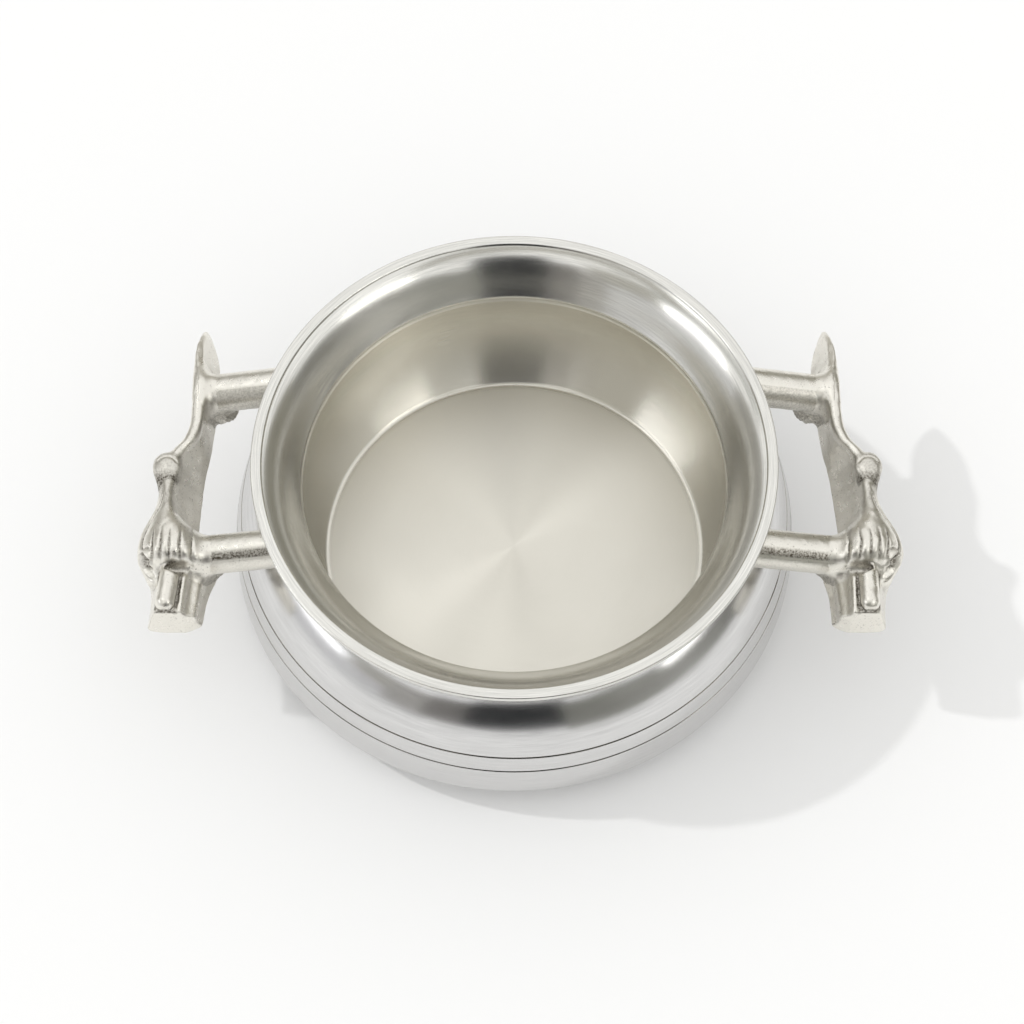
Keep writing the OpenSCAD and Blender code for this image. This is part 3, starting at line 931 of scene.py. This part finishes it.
def cast_metal(name, tone, dirt_and_shade, roughness, pitting):
    """Plated casting: satin high places, sand pits, and dark speckles where grime and painted shade are
    marked.
    """
    pit_height = 0.0003
    nodes = Nodes(name)
    place = nodes.add("ShaderNodeTexCoord").outputs["Object"]
    recess = nodes.add("ShaderNodeAttribute", attribute_name="recess").outputs["Fac"]
    grain = nodes.noise(place, 1300.0, 3.0, 0.7)
    patch = nodes.noise(place, 190.0, 3.0, 0.6)
    speck = nodes.ramp(grain, 0.4, 0.62)
    hollow = nodes.ramp(recess, 0.2, 0.6)
    # Dark speckles where the attribute marks grime and painted shade
    stain_and_shade = nodes.math("MULTIPLY", hollow, nodes.ramp(speck, 0.0, 1.0, 0.4, 1.0))
    pits = nodes.math("MULTIPLY", nodes.ramp(grain, 0.58, 0.68), nodes.ramp(patch, 0.42, 0.6))
    stain_and_shade = nodes.math("MAXIMUM", stain_and_shade, nodes.math("MULTIPLY", pits, pitting))
    nodes.link("Base Color", nodes.mix(stain_and_shade, tone, dirt_and_shade))
    satin = nodes.ramp(patch, 0.3, 0.7, roughness - 0.04, roughness + 0.06)
    nodes.link("Roughness", nodes.math("ADD", satin, nodes.math("MULTIPLY", stain_and_shade, 0.2)))
    slow = nodes.math("MULTIPLY", patch, 0.2)
    height = nodes.math("ADD", slow, nodes.math("MULTIPLY", grain, 0.6))
    nodes.bump(height, 0.5, pit_height)
    nodes.set(Metallic=1.0)
    return nodes.material


bowl_metal = turned_metal("bowl_metal", (0.73, 0.725, 0.72), roughness=0.21, anisotropy=0.6,
                          line_scale=2600.0, contrast=0.5)
inside_metal = turned_metal("inside_metal", (0.79, 0.765, 0.69), roughness=0.24, anisotropy=0.9,
                            line_scale=2600.0, contrast=0.4, dull_floor=0.12)
collar_metal = turned_metal("collar_metal", (0.885, 0.875, 0.83), roughness=0.21, anisotropy=0.6,
                            line_scale=2300.0, contrast=0.8)
cast_tone = (0.86, 0.835, 0.765)
# The dark colours below are those of grime and of painted shade
handle_metal = cast_metal("handle_metal", cast_tone, (0.09, 0.075, 0.055), roughness=0.29, pitting=0.55)
braze_metal = cast_metal("braze_metal", cast_tone, (0.10, 0.085, 0.065), roughness=0.31, pitting=0.75)


# Pieces

def mark_grooves(piece):
    """Marks the bowl's two grooves as recesses, which its metal paints dark as their shade."""
    skin = 1.2
    place = np.empty(len(piece.data.vertices) * 3)
    piece.data.vertices.foreach_get("co", place)
    place = place.reshape(-1, 3) / MM
    radius = np.hypot(place[:, 0], place[:, 1])
    surface = np.array([shoulder_r(z) for z in place[:, 2]])
    outside = (radius > mouth_out_r + 10) & (radius >= surface - skin)
    recess = np.zeros(len(place))
    for middle in GROOVES:
        recess[(np.abs(place[:, 2] - middle) < groove_w * 0.42) & outside] = 1
    set_recess(piece, recess)


def make_pot():
    """Turned bowl, with a metal of its own inside, and turned collar."""
    outside = underside() + bowl_outside()
    bowl = lathe("bowl_turned", outside + bowl_inside(), bowl_metal,
                 inside_metal, len(outside))
    mark_grooves(bowl)
    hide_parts("bowl_shell")
    collar = lathe("collar_turned", collar_profile(), collar_metal)
    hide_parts("neck_collar")


def make_post(name, place, side, y):
    """A round post and the filler metal at its outer end."""
    start = post_start(side, y)
    low = (start[0] - 42, y - 9, start[2] - 9.5)
    high = (start[0] + 5, y + 9, start[2] + 18)
    bar = sculpt(f"{name}_{place}_bar", bar_field, bar_dirt_and_shade, (side, y), (low, high), bar_step,
                 handle_metal)
    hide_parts(f"{name}_{place}_post")
    low = (start[0] - 17, y - 18, start[2] - 15)
    high = (start[0] + 12, y + 16, start[2] + 15)
    fillet = sculpt(f"{name}_{place}_fillet", braze_field, braze_underside_shade, (side, y), (low, high), fillet_step,
                    braze_metal)
    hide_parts(f"{name}_{place}_braze")


def make_handle(name, side):
    """A cast handle on its front and rear posts."""
    low = (plate_x(side, rear_y) - 12, snout_y - 2.0, pot_h - 35)
    high = (plate_x(side, front_y) + 24, tail_y + 1.5, pot_h - 1.5)
    casting = sculpt(name + "_handle_sculpt", casting_field, casting_dirt_and_shade, (side,), (low, high),
                     casting_step, handle_metal)
    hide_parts(name + "_handle_casting")
    make_post(name, "front", side, front_y)
    make_post(name, "rear", side, rear_y)


# Stage: floor, light and camera

def stage_face(name, corners, material):
    """A single face of the stage."""
    piece = mesh_object(name, corners, [tuple(range(len(corners)))], material)
    return piece


def only_reflected(piece):
    """Keeps a face of the stage out of everything but reflections."""
    piece.visible_camera = False
    piece.visible_diffuse = False
    piece.visible_shadow = False


def card(name, turn, lift, light, distance=1.0):
    """A flat patch of the surroundings seen only in reflections, by its bearing and height from the pot."""
    nodes = Nodes(name)
    nodes.set(Base_Color=(0, 0, 0, 1), Specular_IOR_Level=0.0)
    nodes.set(Emission_Color=(*light, 1), Emission_Strength=1.0)
    corners = []
    for bearing, height in ((0, 0), (1, 0), (1, 1), (0, 1)):
        angle = math.radians(turn[bearing])
        rise = math.tan(math.radians(lift[height]))
        x = distance * math.sin(angle)
        y = -distance * math.cos(angle)
        corners.append((x, y, pot_h * MM + distance * rise))
    only_reflected(stage_face(name, corners, nodes.material))


def make_surroundings():
    """Grey room, dark front and bright windows round the pot: bearings turn from the front to the right."""
    card("front_dark", (-15, 18), (0, 50), (0.02, 0.021, 0.023), 0.29)
    card("front_left", (-28, -15), (0, 40), (0.20, 0.19, 0.18), 0.30)
    card("right_near", (14, 48), (-7, 28), (0.24, 0.24, 0.215), 0.20)
    card("right_side", (48, 66), (-7, 5), (0.24, 0.24, 0.215), 0.20)
    card("right_low", (24, 100), (0, 25), (0.20, 0.196, 0.176), 0.9)
    card("front_high", (-75, 45), (44, 62), (0.38, 0.37, 0.33), 0.6)
    card("front_far_left", (-40, -27), (0, 34), (0.42, 0.41, 0.39), 0.30)
    card("left_high", (-60, -30), (18, 44), (0.45, 0.44, 0.40), 0.8)
    card("left_top", (-120, -60), (34, 50), (0.48, 0.48, 0.46), 0.8)
    card("left_front", (-100, -28), (0, 18), (0.66, 0.66, 0.67), 0.8)
    card("left_back", (-160, -100), (-2, 24), (0.33, 0.32, 0.29), 0.8)
    card("back", (160, 200), (-2, 24), (0.34, 0.32, 0.27), 0.8)
    card("right_back", (100, 160), (-2, 30), (0.24, 0.23, 0.19), 0.8)
    card("right_window", (42, 72), (17, 38), (3.4, 3.38, 3.28), 0.85)
    card("left_window", (-92, -62), (19, 32), (3.0, 3.03, 3.1))
    card("overhead", (-42, -8), (66, 77), (2.0, 2.0, 1.96), 0.4)
    card("left_overhead", (-125, -80), (52, 66), (2.2, 2.2, 2.2), 0.6)


def make_floor():
    """White ground under the pot."""
    size = 3.0
    nodes = Nodes("floor_white")
    nodes.set(Base_Color=(0.88, 0.88, 0.875, 1), Roughness=0.9)
    corners = [(size * x, size * y, 0) for x, y in ((-1, -1), (1, -1), (1, 1), (-1, 1))]
    stage_face("floor", corners, nodes.material)


def make_world():
    """Even white light from all round."""
    world = bpy.data.worlds.new("studio")
    bpy.context.scene.world = world
    world.use_nodes = True
    background = world.node_tree.nodes["Background"]
    background.inputs["Color"].default_value = (1.0, 1.0, 0.995, 1)
    background.inputs["Strength"].default_value = 1.0


def make_key():
    """Sun from the left and a little behind, which casts the shadow and shows in no reflection."""
    lamp = bpy.data.lights.new("key", "SUN")
    lamp.energy = 0.66
    lamp.angle = math.radians(2)
    key = bpy.data.objects.new("key", lamp)
    key.rotation_euler = Vector((-0.96, 0.26, 1.0)).to_track_quat("Z", "Y").to_euler()
    key.visible_glossy = False
    bpy.context.scene.collection.objects.link(key)


def make_camera():
    """Long lens that looks down on the pot from the front."""
    lens = bpy.data.cameras.new("camera")
    lens.sensor_width = 36.0
    lens.lens = 92.86
    camera = bpy.data.objects.new("camera", lens)
    camera.location = (-0.00087, -0.48303, 0.9526)
    camera.rotation_euler = (math.radians(27.68), 0, 0)
    bpy.context.scene.collection.objects.link(camera)
    bpy.context.scene.camera = camera


make_pot()
for side_name, side_values in SIDES.items():
    make_handle(side_name, side_values)
make_floor()
make_world()
make_key()
make_surroundings()
make_camera()
bpy.context.scene.view_settings.view_transform = "Standard"
